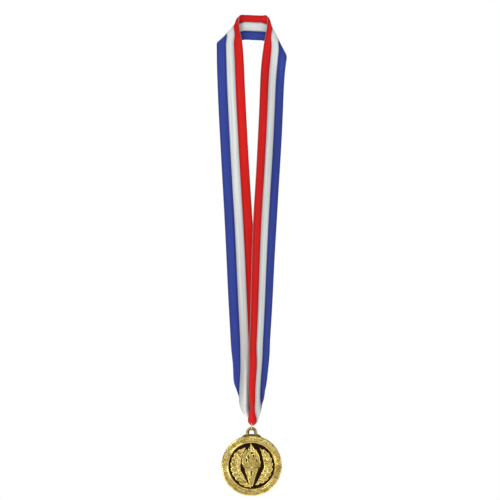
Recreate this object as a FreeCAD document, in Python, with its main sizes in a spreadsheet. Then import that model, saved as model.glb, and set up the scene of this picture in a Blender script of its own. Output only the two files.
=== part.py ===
import FreeCAD, Part
import Sketcher
import math
import os

# A prize medal on its neck ribbon, hanging at rest.  The frame is +Z up, the medal's
# front faces -Y, and the origin is the middle of the neck band's back face, where a
# neck or a peg carries it.  Lengths are millimetres and angles are degrees.

DIMENSIONS = (
    # alias, value, what it is
    ("ribbon_width", 24.0, "woven ribbon, edge to edge"),
    ("ribbon_thick", 0.5, "one layer of ribbon"),
    ("band_half_span", 11.4, "neck band's middle to the start of a fold"),
    ("fold_reach", 20.0, "how far a diagonal fold stands out sideways"),
    ("fold_depth", 2.7, "front to back over both layers of a fold"),
    ("fold_round", 1.2, "rolled edge of a fold"),
    ("hang_depth", 3.0, "band's back face to the plane that everything hangs in"),
    ("drop_height", -12.6, "where the legs leave the folds"),
    ("sway_height", -45.0, "upper bend line of both legs"),
    ("bend_height", -190.0, "lower bend line of both legs"),
    ("gather_height", -300.0, "where the legs start to bunch"),
    ("slot_height", -326.5, "where the bunch parts for the jump ring"),
    ("bunch_height", -331.0, "middle of the bunch inside the jump ring"),
    ("left_drop_across", -19.4, "left leg's middle at the folds"),
    ("left_sway_across", -17.1, "left leg's middle at the upper bend"),
    ("left_bend_across", -9.4, "left leg's middle at the lower bend"),
    ("left_gather_across", -4.5, "left leg's middle at the gather"),
    ("right_drop_across", 19.6, "right leg's middle at the folds"),
    ("right_sway_across", 17.4, "right leg's middle at the upper bend"),
    ("right_bend_across", 10.1, "right leg's middle at the lower bend"),
    ("right_gather_across", 5.0, "right leg's middle at the gather"),
    ("left_gather_turn", 30.0, "left leg's turn about the vertical at the gather"),
    ("right_drop_turn", 14.0, "right leg's turn at the folds"),
    ("right_sway_turn", 30.0, "right leg's turn at the upper bend"),
    ("right_bend_turn", 37.0, "right leg's turn at the lower bend"),
    ("right_gather_turn", 50.0, "right leg's turn at the gather"),
    ("bend_gap", 0.6, "half the break in a flat leg at a bend line"),
    ("bunch_depth", 6.4, "front to back of the bunch"),
    ("bunch_foot_depth", 5.12, "front to back of the bunch at its foot"),
    ("bunch_side", 2.5, "left to right of each half of the bunch"),
    ("core_radius", 1.5, "ribbon squeezed inside the jump ring"),
    ("lobe_radius", 2.6, "ribbon bulging each side of the jump ring"),
    ("slot_half", 0.8, "half the slot that the jump ring moves in"),
    ("tail_width", 14.0, "turned-up ribbon ends, pleated, at the top"),
    ("tail_foot_width", 7.0, "turned-up ribbon ends, pleated, at the foot"),
    ("tail_length", 24.0, "turned-up ribbon ends"),
    ("tail_back", 8.2, "tails' middle behind the hanging plane, at the top"),
    ("tail_foot", 5.2, "tails' middle behind the hanging plane, at the foot"),
    ("thread_radius", 0.3, "sewing thread"),
    ("thread_pitch", 2.2, "one row of the bar tack to the next"),
    ("thread_lift", 0.06, "thread's clearance behind the tails"),
    ("tack_width", 7.0, "length of a row of the bar tack"),
    ("tack_rise", 9.6, "lowest row of the bar tack above the tails' foot"),
    ("wire_radius", 0.5, "jump ring's wire"),
    ("wire_clearance", 0.1, "jump ring's play on the ribbon"),
    ("ring_radius", 4.7, "jump ring's middle to its wire's middle"),
    ("ring_slit", 0.15, "butt joint of the jump ring"),
    ("eye_radius", 3.35, "hanging eye's middle to its bar's middle"),
    ("eye_bar_radius", 1.05, "half the thickness of the eye's bar"),
    ("eye_clearance", 0.05, "ring's wire to the eye's bar"),
    ("eye_reach", 27.95, "hanging eye's middle to the disc's middle"),
    ("disc_radius", 25.4, "medal, 2 inches across"),
    ("disc_half_thick", 1.8, "half the thickness of the medal"),
    ("rim_round", 0.9, "outer corner of the rim"),
    ("field_radius", 18.9, "sunk field inside the rim"),
    ("field_depth", 1.2, "rim's front to the field"),
    ("field_draft", 0.7, "slope of the rim's inner wall, across"),
    ("reverse_radius", 22.4, "plain sunk back"),
    ("reverse_depth", 0.3, "back rim to the plain back"),
    ("fill_thick", 0.25, "dark fill on the field"),
    ("torch_top_half", 6.9, "half the torch's width at its bowl"),
    ("torch_neck_half", 4.14, "half the handle's width under the bowl"),
    ("torch_cup_half", 4.83, "half the bowl's width at its underside"),
    ("torch_foot_half", 1.2, "half the torch's width at its foot"),
    ("torch_bowl_rise", -0.6, "bowl's underside above the disc's middle"),
    ("torch_bowl_tall", 3.2, "height of the torch's bowl"),
    ("torch_foot_drop", -16.2, "torch's foot above the disc's middle"),
    ("torch_relief", 1.0, "torch above the field"),
    ("flame_half", 6.6, "half the flame's width where it swells"),
    ("flame_root_half", 5.28, "half the flame's width at the bowl"),
    ("flame_side_half", 3.96, "middle to the tip of a side tongue"),
    ("flame_cleft_half", 2.31, "middle to the cleft beside the middle tongue"),
    ("flame_swell", 7.24, "where the flame swells, above the disc's middle"),
    ("flame_side_tip", 12.9, "side tongues' tips above the disc's middle"),
    ("flame_cleft", 11.35, "clefts above the disc's middle"),
    ("flame_tip", 18.2, "flame's tip above the disc's middle"),
    ("flame_relief", 0.8, "flame above the field"),
    ("stem_radius", 13.9, "laurel stem's arc"),
    ("stem_thick", 0.7, "laurel stem"),
    ("leaf_long", 3.1, "half a laurel leaf's length"),
    ("leaf_wide", 1.25, "half a laurel leaf's width"),
    ("leaf_relief", 0.9, "laurel leaf above the field"),
    ("leaf_stand", 1.24, "leaf's middle beside the stem"),
    ("leaf_splay", 24.0, "leaf's turn away from the stem"),
    ("leaf_first", -66.0, "lowest leaf's angle on the stem's arc"),
    ("leaf_last", 50.0, "highest leaf's angle on the stem's arc"),
)
LEAF_PAIRS = 8
STITCH_ROWS = 4
EDGE_ON = 90.0
FACE_ON = 0.0
SWAY_SWING = 45.0
BEND_SWING = 60.0
SAME_RADIUS = 0.01       # two circles nearer than this in radius are one

doc = FreeCAD.newDocument("neck_medal")
sheet = doc.addObject("Spreadsheet::Sheet", "dims")


class Size:
    """A dimension known as a number and as an expression on the sheet."""

    def __init__(self, value, text):
        self.value = value
        self.text = text

    def __add__(self, other):
        other = as_size(other)
        return Size(self.value + other.value, f"({self.text} + {other.text})")

    def __sub__(self, other):
        other = as_size(other)
        return Size(self.value - other.value, f"({self.text} - {other.text})")

    def __mul__(self, other):
        other = as_size(other)
        return Size(self.value * other.value, f"({self.text} * {other.text})")

    def __neg__(self):
        return Size(-self.value, f"(0 - {self.text})")


def as_size(value):
    return value if isinstance(value, Size) else Size(float(value), f"({float(value)})")


class Sizes:
    """Every row of the sheet, as an attribute."""


def fill_sheet():
    sizes = Sizes()
    for row, (alias, value, meaning) in enumerate(DIMENSIONS, start=1):
        sheet.set(f"A{row}", str(value))
        sheet.setAlias(f"A{row}", alias)
        sheet.set(f"B{row}", meaning)
        setattr(sizes, alias, Size(value, f"dims.{alias}"))
    doc.recompute()
    return sizes


s = fill_sheet()


def bind(item, path, size):
    item.setExpression(path, as_size(size).text)


def place(item, x=0.0, y=0.0, z=0.0):
    """Put an object at a point worked out from the sheet."""
    for name, size in (("x", x), ("y", y), ("z", z)):
        bind(item, f"Placement.Base.{name}", size)


# ---------------------------------------------------------------- sketches and features

def new_body(name):
    body = doc.addObject("PartDesign::Body", name)
    body.Label = name
    return body


def new_sketch(body, name, role, x=0.0, y=0.0, lift=0.0, turn=0.0):
    """A sketch on one of the body's own planes, moved and turned in that plane."""
    sketch = body.newObject("Sketcher::SketchObject", name)
    plane = next(item for item in body.Origin.OriginFeatures if item.Role == role)
    sketch.AttachmentSupport = [(plane, "")]
    sketch.MapMode = "FlatFace"
    bind(sketch, "AttachmentOffset.Base.x", x)
    bind(sketch, "AttachmentOffset.Base.y", y)
    bind(sketch, "AttachmentOffset.Base.z", lift)
    bind(sketch, "AttachmentOffset.Rotation.Angle", turn)
    return sketch


def pin_point(sketch, edge, end, x, y):
    """Tie one end of a sketch edge to a place measured from the sketch's origin."""
    for kind, size in (("DistanceX", as_size(x)), ("DistanceY", as_size(y))):
        index = sketch.addConstraint(Sketcher.Constraint(kind, -1, 1, edge, end, size.value))
        sketch.setExpression(f"Constraints[{index}]", size.text)


def polygon(sketch, corners):
    """A closed outline of straight edges through corners worked out from the sheet."""
    points = [FreeCAD.Vector(as_size(x).value, as_size(y).value, 0) for x, y in corners]
    count = len(points)
    for i in range(count):
        sketch.addGeometry(Part.LineSegment(points[i], points[(i + 1) % count]), False)
    for i in range(count):
        sketch.addConstraint(Sketcher.Constraint("Coincident", i, 2, (i + 1) % count, 1))
        pin_point(sketch, i, 1, *corners[i])


def rectangle(sketch, width, height):
    """A rectangle about the sketch's origin."""
    half_w = as_size(width) * 0.5
    half_h = as_size(height) * 0.5
    polygon(sketch, ((-half_w, -half_h), (half_w, -half_h), (half_w, half_h), (-half_w, half_h)))


def pad(body, sketch, length, centred=True):
    feature = body.newObject("PartDesign::Pad", f"{body.Name}_pad")
    feature.Profile = sketch
    bind(feature, "Length", length)
    feature.SideType = "Symmetric" if centred else "One side"
    body.Tip = feature
    return feature


def loft(body, sections):
    """A solid through rectangular sections, with straight sides between them."""
    feature = body.newObject("PartDesign::AdditiveLoft", f"{body.Name}_loft")
    feature.Profile = sections[0]
    feature.Sections = sections[1:]
    feature.Ruled = True
    body.Tip = feature
    return feature


def ribbon_stretch(name, stations):
    """Ribbon as a loft; each station is (x, y, z, turn, width, thickness)."""
    body = new_body(name)
    sections = []
    for i, (x, y, z, turn, width, thick) in enumerate(stations):
        sketch = new_sketch(body, f"{name}_section_{i}", "XY_Plane", x, y, z, turn)
        rectangle(sketch, width, thick)
        sections.append(sketch)
    loft(body, sections)
    place(body, y=-s.hang_depth)
    return body


# ---------------------------------------------------------------- neck band and folds

def neck_band():
    """The stretch behind the neck, a plain upright strip."""
    body = new_body("ribbon_neck_band")
    sketch = new_sketch(body, "band_outline", "XZ_Plane")
    rectangle(sketch, s.band_half_span * 2, s.ribbon_width)
    pad(body, sketch, s.ribbon_thick)
    place(body, y=-(s.ribbon_thick * 0.5))
    return body


def diagonal_fold(name, side):
    """Where the band turns down into a leg: both layers and the roll between them."""
    body = new_body(name)
    half = s.ribbon_width * 0.5
    near = s.band_half_span * side
    far = (s.band_half_span + s.fold_reach) * side
    sketch = new_sketch(body, f"{name}_outline", "XZ_Plane")
    polygon(sketch, ((near, -half), (near, half), (far, -half)))
    solid = pad(body, sketch, s.fold_depth)
    doc.recompute()
    slope = body.newObject("PartDesign::Fillet", f"{name}_roll")
    slope.Base = (solid, slanted_edges(solid.Shape))
    bind(slope, "Radius", s.fold_round)
    body.Tip = slope
    place(body, y=-(s.fold_depth * 0.5))
    return body


def slanted_edges(shape):
    """The straight edges that are neither level nor upright."""
    names = []
    for i, edge in enumerate(shape.Edges, start=1):
        run = edge.Vertexes[-1].Point - edge.Vertexes[0].Point
        if abs(run.x) > 1.0 and abs(run.z) > 1.0:
            names.append(f"Edge{i}")
    return names


# ---------------------------------------------------------------- legs, gather and tails

def half_break(turn, swing):
    """Half the break at a bend line that a turned strip needs to fold by `swing`."""
    reach = 0.5 * s.ribbon_width.value * math.sin(math.radians(turn))
    return s.bend_gap + reach * math.tan(math.radians(0.5 * swing))


def left_legs():
    def station(across, height, turn):
        return (across, 0.0, height, turn, s.ribbon_width, s.ribbon_thick)

    gap = s.bend_gap
    ribbon_stretch("ribbon_left_top", (
        station(s.left_sway_across, s.sway_height + gap, FACE_ON),
        station(s.left_drop_across, s.drop_height, FACE_ON)))
    ribbon_stretch("ribbon_left_upper", (
        station(s.left_bend_across, s.bend_height + gap, FACE_ON),
        station(s.left_sway_across, s.sway_height - gap, FACE_ON)))
    ribbon_stretch("ribbon_left_lower", (
        station(s.left_gather_across, s.gather_height, s.left_gather_turn),
        station(s.left_bend_across, s.bend_height - gap, FACE_ON)))


def right_legs():
    def station(across, height, turn):
        return (across, 0.0, height, turn, s.ribbon_width, s.ribbon_thick)

    sway_gap = half_break(s.right_sway_turn.value, SWAY_SWING)
    bend_gap = half_break(s.right_bend_turn.value, BEND_SWING)
    ribbon_stretch("ribbon_right_top", (
        station(s.right_sway_across, s.sway_height + sway_gap, s.right_sway_turn),
        station(s.right_drop_across, s.drop_height, s.right_drop_turn)))
    ribbon_stretch("ribbon_right_upper", (
        station(s.right_bend_across, s.bend_height + bend_gap, s.right_bend_turn),
        station(s.right_sway_across, s.sway_height - sway_gap, s.right_sway_turn)))
    ribbon_stretch("ribbon_right_lower", (
        station(s.right_gather_across, s.gather_height, s.right_gather_turn),
        station(s.right_bend_across, s.bend_height - bend_gap, s.right_bend_turn)))


def gather(name, side, across, turn):
    """One leg narrowing into its half of the bunch, beside the jump ring's slot."""
    half_bunch = (s.slot_half + s.bunch_side * 0.5) * side
    foot = s.bunch_height + s.lobe_radius
    ribbon_stretch(name, (
        (half_bunch, 0.0, foot, EDGE_ON, s.bunch_foot_depth, s.bunch_side),
        (half_bunch, 0.0, s.slot_height, EDGE_ON, s.bunch_depth, s.bunch_side),
        (across, 0.0, s.gather_height, turn, s.ribbon_width, s.ribbon_thick)))


def bight():
    """The ribbon's turn through the jump ring, shaped like a bobbin on its side."""
    body = new_body("ribbon_bight")
    sketch = new_sketch(body, "bight_profile", "XY_Plane")
    inner = s.slot_half
    outer = s.slot_half + s.bunch_side
    polygon(sketch, (
        (-outer, 0.0), (outer, 0.0), (outer, s.lobe_radius), (inner, s.lobe_radius),
        (inner, s.core_radius), (-inner, s.core_radius), (-inner, s.lobe_radius),
        (-outer, s.lobe_radius)))
    turned = body.newObject("PartDesign::Revolution", "bight_turned")
    turned.Profile = sketch
    turned.ReferenceAxis = (sketch, ["H_Axis"])
    turned.Angle = 360.0
    body.Tip = turned
    place(body, y=-s.hang_depth, z=s.bunch_height)
    return body


def tails():
    """Both cut ends of the ribbon, turned up behind the bunch and laid together."""
    thick = s.ribbon_thick * 2
    foot = s.slot_height
    ribbon_stretch("ribbon_tails", (
        (0.0, s.tail_foot, foot, FACE_ON, s.tail_foot_width, thick),
        (0.0, s.tail_back, foot + s.tail_length, FACE_ON, s.tail_width, thick)))


def end_stitches():
    """A bar tack: rows of thread across the back of the tails, one group of solids."""
    rows = []
    slope = (s.tail_back - s.tail_foot).value / s.tail_length.value
    for row in range(STITCH_ROWS):
        rise = s.thread_pitch * row + s.tack_rise
        back = s.tail_foot + rise * slope + s.ribbon_thick + s.thread_radius
        thread = doc.addObject("Part::Cylinder", f"stitch_row_{row}")
        bind(thread, "Radius", s.thread_radius)
        bind(thread, "Height", s.tack_width)
        thread.Placement.Rotation = FreeCAD.Rotation(FreeCAD.Vector(0, 1, 0), 90)
        place(thread, -(s.tack_width * 0.5), back - s.hang_depth + s.thread_lift,
              s.slot_height + rise)
        rows.append(thread)
    group = doc.addObject("Part::Compound", "end_stitches")
    group.Label = "end_stitches"
    group.Links = rows
    return group


# ---------------------------------------------------------------- jump ring and hanging eye

def ring_height():
    return s.bunch_height + s.core_radius + s.wire_clearance - s.ring_radius + s.wire_radius


def wire_height():
    """Middle of the jump ring's wire at its lowest point."""
    return ring_height() - s.ring_radius


def eye_height():
    return wire_height() + s.wire_radius + s.eye_clearance - s.eye_radius + s.eye_bar_radius


def disc_height():
    return eye_height() - s.eye_reach


def torus(name, radius, bar):
    shape = doc.addObject("Part::Torus", name)
    bind(shape, "Radius1", radius)
    bind(shape, "Radius2", bar)
    return shape


def jump_ring():
    """A round wire ring, edge-on to the front, with its butt joint at the back."""
    ring = torus("ring_wire", s.ring_radius, s.wire_radius)
    ring.Placement.Rotation = FreeCAD.Rotation(FreeCAD.Vector(0, 1, 0), 90)
    place(ring, 0.0, -s.hang_depth, ring_height())
    slit = doc.addObject("Part::Box", "ring_slit_tool")
    bind(slit, "Length", s.wire_radius * 4)
    bind(slit, "Width", s.wire_radius * 4)
    bind(slit, "Height", s.ring_slit)
    place(slit, -(s.wire_radius * 2), s.ring_radius - s.hang_depth - s.wire_radius * 2,
          ring_height() - s.ring_slit * 0.5)
    cut = doc.addObject("Part::Cut", "jump_ring")
    cut.Label = "jump_ring"
    cut.Base = ring
    cut.Tool = slit
    return cut


def hanger_eye():
    """The cast loop on top of the disc, trimmed where it meets the rim."""
    loop = torus("eye_loop", s.eye_radius, s.eye_bar_radius)
    loop.Placement.Rotation = FreeCAD.Rotation(FreeCAD.Vector(1, 0, 0), 90)
    place(loop, 0.0, -s.hang_depth, eye_height())
    disc = doc.addObject("Part::Cylinder", "eye_trim_tool")
    bind(disc, "Radius", s.disc_radius)
    bind(disc, "Height", s.disc_half_thick * 2)
    disc.Placement.Rotation = FreeCAD.Rotation(FreeCAD.Vector(1, 0, 0), 90)
    place(disc, 0.0, s.disc_half_thick - s.hang_depth, disc_height())
    cut = doc.addObject("Part::Cut", "hanger_eye")
    cut.Label = "hanger_eye"
    cut.Base = loop
    cut.Tool = disc
    return cut


# ---------------------------------------------------------------- medal

def on_disc(body):
    place(body, y=-s.hang_depth, z=disc_height())
    return body


def medal_disc():
    """The cast blank: a wide rim round a sunk field, and a plain sunk back."""
    body = new_body("medal_disc")
    sketch = new_sketch(body, "disc_profile", "XY_Plane")
    front = -s.disc_half_thick
    back = s.disc_half_thick
    floor = front + s.field_depth
    plain = back - s.reverse_depth
    polygon(sketch, (
        (0.0, floor), (s.field_radius, floor), (s.field_radius + s.field_draft, front),
        (s.disc_radius, front), (s.disc_radius, back), (s.reverse_radius, back),
        (s.reverse_radius, plain), (0.0, plain)))
    turned = body.newObject("PartDesign::Revolution", "disc_turned")
    turned.Profile = sketch
    turned.ReferenceAxis = (sketch, ["V_Axis"])
    turned.Angle = 360.0
    doc.recompute()
    corners = body.newObject("PartDesign::Fillet", "disc_corners")
    corners.Base = (turned, rim_edges(turned.Shape))
    bind(corners, "Radius", s.rim_round)
    body.Tip = corners
    return on_disc(body)


def rim_edges(shape):
    """The two outermost circles of the blank."""
    return [f"Edge{i}" for i, edge in enumerate(shape.Edges, start=1)
            if hasattr(edge.Curve, "Radius")
            and abs(edge.Curve.Radius - s.disc_radius.value) < SAME_RADIUS]


def relief_body(name, corners, height):
    """A raised figure standing on the field, from a straight-edged outline."""
    body = new_body(name)
    sketch = new_sketch(body, f"{name}_outline", "XZ_Plane",
                        lift=s.disc_half_thick - s.field_depth)
    polygon(sketch, corners)
    pad(body, sketch, height, centred=False)
    return on_disc(body)


def torch_handle():
    return relief_body("torch_handle", (
        (-s.torch_foot_half, s.torch_foot_drop), (s.torch_foot_half, s.torch_foot_drop),
        (s.torch_neck_half, s.torch_bowl_rise),
        (-s.torch_neck_half, s.torch_bowl_rise)), s.torch_relief)


def torch_bowl():
    top = s.torch_bowl_rise + s.torch_bowl_tall
    return relief_body("torch_bowl", (
        (-s.torch_cup_half, s.torch_bowl_rise), (s.torch_cup_half, s.torch_bowl_rise),
        (s.torch_top_half, top), (-s.torch_top_half, top)), s.torch_relief)


def torch_flame():
    """Three tongues of flame, the middle one the tallest."""
    foot = s.torch_bowl_rise + s.torch_bowl_tall
    return relief_body("torch_flame", (
        (-s.flame_root_half, foot), (s.flame_root_half, foot), (s.flame_half, s.flame_swell),
        (s.flame_side_half, s.flame_side_tip), (s.flame_cleft_half, s.flame_cleft),
        (0.0, s.flame_tip), (-s.flame_cleft_half, s.flame_cleft),
        (-s.flame_side_half, s.flame_side_tip), (-s.flame_half, s.flame_swell)), s.flame_relief)


def laurel(name, side):
    """A branch: a stem on an arc with leaves in pairs, one group fused to one solid."""
    pieces = [laurel_stem(name, side)]
    sweep = (s.leaf_last - s.leaf_first) * (1.0 / (LEAF_PAIRS - 1))
    for pair in range(LEAF_PAIRS):
        angle = s.leaf_first + sweep * pair
        for bank in (1, -1):
            pieces.append(laurel_leaf(f"{name}_leaf_{pair}_{bank + 1}", side, bank, angle))
    fused = doc.addObject("Part::MultiFuse", f"{name}_fused")
    fused.Shapes = pieces
    field = field_cylinder(f"{name}_field", s.field_radius, s.leaf_relief)
    trimmed = doc.addObject("Part::Common", name)
    trimmed.Label = name
    trimmed.Base = fused
    trimmed.Tool = field
    return trimmed


def field_cylinder(name, radius, height):
    """A flat round block standing on the field and facing the front."""
    block = doc.addObject("Part::Cylinder", name)
    bind(block, "Radius", radius)
    bind(block, "Height", height)
    block.Placement.Rotation = FreeCAD.Rotation(FreeCAD.Vector(1, 0, 0), 90)
    place(block, 0.0, s.field_depth - s.disc_half_thick - s.hang_depth, disc_height())
    return block


def laurel_stem(name, side):
    """The stem: an arc of thin torus lying on the field, from the lowest leaf to the highest."""
    stem = torus(f"{name}_stem", s.stem_radius, s.stem_thick)
    first = s.leaf_first if side > 0 else Size(180.0, "180") - s.leaf_last
    upright = FreeCAD.Rotation(FreeCAD.Vector(1, 0, 0), 90)
    stem.Placement.Rotation = FreeCAD.Rotation(
        FreeCAD.Vector(0, -1, 0), first.value).multiply(upright)
    place(stem, 0.0, s.field_depth - s.disc_half_thick - s.hang_depth, disc_height())
    bind(stem, "Angle3", s.leaf_last - s.leaf_first)
    return stem


def laurel_leaf(name, side, bank, angle):
    """One leaf: a flat ellipsoid beside the stem, its tip turned outwards."""
    leaf = doc.addObject("Part::Ellipsoid", name)
    bind(leaf, "Radius1", s.leaf_relief)
    bind(leaf, "Radius2", s.leaf_long)
    bind(leaf, "Radius3", s.leaf_wide)
    radians = math.radians(angle.value)
    stand = s.stem_radius.value + bank * s.leaf_stand.value
    x = side * stand * math.cos(radians)
    z = stand * math.sin(radians)
    along = math.degrees(math.atan2(math.cos(radians), -side * math.sin(radians)))
    tilt = along - side * bank * s.leaf_splay.value
    upright = FreeCAD.Rotation(FreeCAD.Vector(1, 0, 0), 90)
    leaf.Placement.Rotation = FreeCAD.Rotation(FreeCAD.Vector(0, -1, 0), tilt).multiply(upright)
    place(leaf, x, s.field_depth - s.disc_half_thick - s.hang_depth, disc_height() + z)
    return leaf


def field_enamel(reliefs):
    """The dark fill round the raised figures.  Only its one large solid is kept: the
    pinholes between a leaf and its stem are too small to hold a body of their own."""
    block = field_cylinder("fill_block", s.field_radius, s.fill_thick)
    figures = doc.addObject("Part::Compound", "fill_figures")
    figures.Links = reliefs
    cut = doc.addObject("Part::Cut", "fill_cut")
    cut.Base = block
    cut.Tool = figures
    doc.recompute()
    fill = doc.addObject("Part::Feature", "field_enamel")
    fill.Label = "field_enamel"
    fill.Shape = max(cut.Shape.Solids, key=lambda solid: solid.Volume)
    return fill


# ---------------------------------------------------------------- assembly and output

def build():
    neck_band()
    diagonal_fold("ribbon_fold_left", -1)
    diagonal_fold("ribbon_fold_right", 1)
    left_legs()
    right_legs()
    gather("ribbon_gather_left", -1, s.left_gather_across, s.left_gather_turn)
    gather("ribbon_gather_right", 1, s.right_gather_across, s.right_gather_turn)
    bight()
    tails()
    end_stitches()
    jump_ring()
    hanger_eye()
    medal_disc()
    reliefs = [torch_handle(), torch_bowl(), torch_flame(),
               laurel("laurel_left", -1), laurel("laurel_right", 1)]
    field_enamel(reliefs)
    doc.recompute()


NODES = (
    "ribbon_neck_band", "ribbon_fold_left", "ribbon_fold_right",
    "ribbon_left_top", "ribbon_right_top", "ribbon_left_upper", "ribbon_right_upper",
    "ribbon_left_lower", "ribbon_right_lower", "ribbon_gather_left", "ribbon_gather_right",
    "ribbon_bight", "ribbon_tails", "end_stitches", "jump_ring", "hanger_eye", "medal_disc",
    "torch_handle", "torch_bowl", "torch_flame", "laurel_left", "laurel_right", "field_enamel",
)


def check_document():
    for item in doc.Objects:
        if "Invalid" in item.State or "Error" in item.State:
            raise RuntimeError(f"{item.Name} did not recompute: {item.State}")


def write_nodes():
    os.makedirs("parts", exist_ok=True)
    by_label = {item.Label: item for item in doc.Objects}
    for name in NODES:
        shape = by_label[name].Shape
        if shape.isNull() or not shape.isValid():
            raise RuntimeError(f"{name} has no valid shape")
        shape.exportStep(f"parts/{name}.step")
        print(f"{name}: {len(shape.Solids)} solid(s), {shape.Volume:.2f} mm3")


build()
check_document()
write_nodes()
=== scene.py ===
import math

import bpy
import numpy as np
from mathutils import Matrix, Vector


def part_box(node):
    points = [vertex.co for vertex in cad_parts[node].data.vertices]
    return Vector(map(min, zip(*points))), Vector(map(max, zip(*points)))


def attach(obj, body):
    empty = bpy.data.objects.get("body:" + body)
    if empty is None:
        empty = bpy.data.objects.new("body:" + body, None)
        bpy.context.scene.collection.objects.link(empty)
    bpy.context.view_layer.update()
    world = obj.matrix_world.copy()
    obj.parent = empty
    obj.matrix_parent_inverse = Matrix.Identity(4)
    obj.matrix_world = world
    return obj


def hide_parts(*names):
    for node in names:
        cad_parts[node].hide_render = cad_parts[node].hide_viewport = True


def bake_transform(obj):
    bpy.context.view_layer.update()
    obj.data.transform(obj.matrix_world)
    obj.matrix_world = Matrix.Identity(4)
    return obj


# A prize medal on a striped neck ribbon, hanging in front of a pale floor and sky.
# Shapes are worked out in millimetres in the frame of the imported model, +Z up and the
# medal's front facing -Y, and are turned to metres when a mesh is made.

MM = 0.001
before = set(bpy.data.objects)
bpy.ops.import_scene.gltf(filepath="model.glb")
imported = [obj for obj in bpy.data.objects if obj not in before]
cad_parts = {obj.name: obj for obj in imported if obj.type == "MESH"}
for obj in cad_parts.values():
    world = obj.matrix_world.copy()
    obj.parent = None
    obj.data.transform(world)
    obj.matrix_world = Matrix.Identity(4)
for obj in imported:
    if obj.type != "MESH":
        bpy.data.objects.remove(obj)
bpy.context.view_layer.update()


def box_mm(node):
    """Lowest and highest corners of a CAD node, in millimetres."""
    low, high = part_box(node)
    return np.array(low) / MM, np.array(high) / MM


disc_low, disc_high = box_mm("medal_disc")
tails_low, tails_high = box_mm("ribbon_tails")
DISC_RADIUS = 0.5 * (disc_high[2] - disc_low[2])
DISC_MIDDLE = 0.5 * (disc_high + disc_low)
HANG_DEPTH = DISC_MIDDLE[1]

# ---------------------------------------------------------------- small tools


def smooth_step(value, start, end):
    """0 at start, 1 at end, level at both."""
    share = np.clip((value - start) / (end - start), 0.0, 1.0)
    return share * share * (3.0 - 2.0 * share)


def soft_ramp(value, blur):
    """0 below nought, rising one for one above it, rounded over `blur`."""
    return 0.5 * (value + np.sqrt(value * value + blur * blur))


def natural_spline(knots, values, at):
    """A smooth curve through values at rising knots; values may have several columns."""
    knots = np.asarray(knots, float)
    values = np.asarray(values, float).reshape(len(knots), -1)
    gaps = np.diff(knots)
    count = len(knots)
    system = np.eye(count)
    right = np.zeros_like(values)
    for i in range(1, count - 1):
        system[i, i - 1:i + 2] = gaps[i - 1], 2.0 * (gaps[i - 1] + gaps[i]), gaps[i]
        slopes = np.diff(values[i - 1:i + 2], axis=0) / gaps[i - 1:i + 1, None]
        right[i] = 6.0 * (slopes[1] - slopes[0])
    bends = np.linalg.solve(system, right)
    at = np.asarray(at, float)
    flat = np.clip(at.ravel(), knots[0], knots[-1])
    i = np.clip(np.searchsorted(knots, flat) - 1, 0, count - 2)
    gap = gaps[i][:, None]
    before = (flat - knots[i])[:, None]
    after = gap - before
    result = (bends[i] * after ** 3 + bends[i + 1] * before ** 3) / (6.0 * gap)
    result += (values[i] / gap - bends[i] * gap / 6.0) * after
    result += (values[i + 1] / gap - bends[i + 1] * gap / 6.0) * before
    return result.reshape(at.shape + (values.shape[1],))


def add_object(name, vertices, faces, smooth=True):
    """A mesh object from corners in millimetres."""
    mesh = bpy.data.meshes.new(name)
    mesh.from_pydata((np.asarray(vertices, float) * MM).tolist(), [], [list(f) for f in faces])
    mesh.validate()
    mesh.update()
    mesh.polygons.foreach_set("use_smooth", [smooth] * len(mesh.polygons))
    made = bpy.data.objects.new(name, mesh)
    bpy.context.collection.objects.link(made)
    return made


def add_value(item, name, values):
    """One number per corner, for a material to read."""
    attribute = item.data.attributes.new(name, "FLOAT", "POINT")
    attribute.data.foreach_set("value", np.asarray(values, np.float32))


def add_corner_map(item, name, per_vertex):
    """A UV map from one pair of numbers per vertex."""
    layer = item.data.uv_layers.new(name=name)
    corner = np.zeros(len(item.data.loops), int)
    item.data.loops.foreach_get("vertex_index", corner)
    layer.data.foreach_set("uv", np.asarray(per_vertex, float)[corner].ravel())


def grid_faces(rows, columns, first=0, closed=False):
    """Quads over a grid of points stored row by row."""
    faces = []
    for i in range(rows - 1):
        for j in range(columns if closed else columns - 1):
            right = (j + 1) % columns
            here, below = first + i * columns, first + (i + 1) * columns
            faces.append((here + j, here + right, below + right, below + j))
    return faces


def grid_normals(grid):
    along = np.gradient(grid, axis=0)
    across = np.gradient(grid, axis=1)
    normal = np.cross(across, along)
    return normal / np.maximum(np.linalg.norm(normal, axis=2, keepdims=True), 1e-9)


# ---------------------------------------------------------------- node materials

def new_material(name):
    material = bpy.data.materials.new(name)
    material.use_nodes = True
    nodes = material.node_tree.nodes
    nodes.clear()
    output = nodes.new("ShaderNodeOutputMaterial")
    shader = nodes.new("ShaderNodeBsdfPrincipled")
    material.node_tree.links.new(shader.outputs[0], output.inputs["Surface"])
    return material, material.node_tree, shader


def math_node(tree, operation, first, second=None, third=None):
    node = tree.nodes.new("ShaderNodeMath")
    node.operation = operation
    for socket, value in zip(node.inputs, (first, second, third)):
        put(tree, socket, value)
    return node.outputs[0]


def put(tree, socket, value):
    """Link a socket, or set its plain value."""
    if value is None:
        return
    if isinstance(value, bpy.types.NodeSocket):
        tree.links.new(value, socket)
    else:
        socket.default_value = value


def mix_colours(tree, share, first, second, blend="MIX"):
    node = tree.nodes.new("ShaderNodeMix")
    node.data_type = "RGBA"
    node.blend_type = blend
    put(tree, node.inputs["Factor"], share)
    put(tree, node.inputs[6], first)
    put(tree, node.inputs[7], second)
    return node.outputs[2]


def tinted(tree, colour, share, strength, tint):
    """A colour multiplied by a tint where share is 1, as far as strength says."""
    darker = mix_colours(tree, 1.0, colour, tint, "MULTIPLY")
    return mix_colours(tree, math_node(tree, "MULTIPLY", share, strength), colour, darker)


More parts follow.
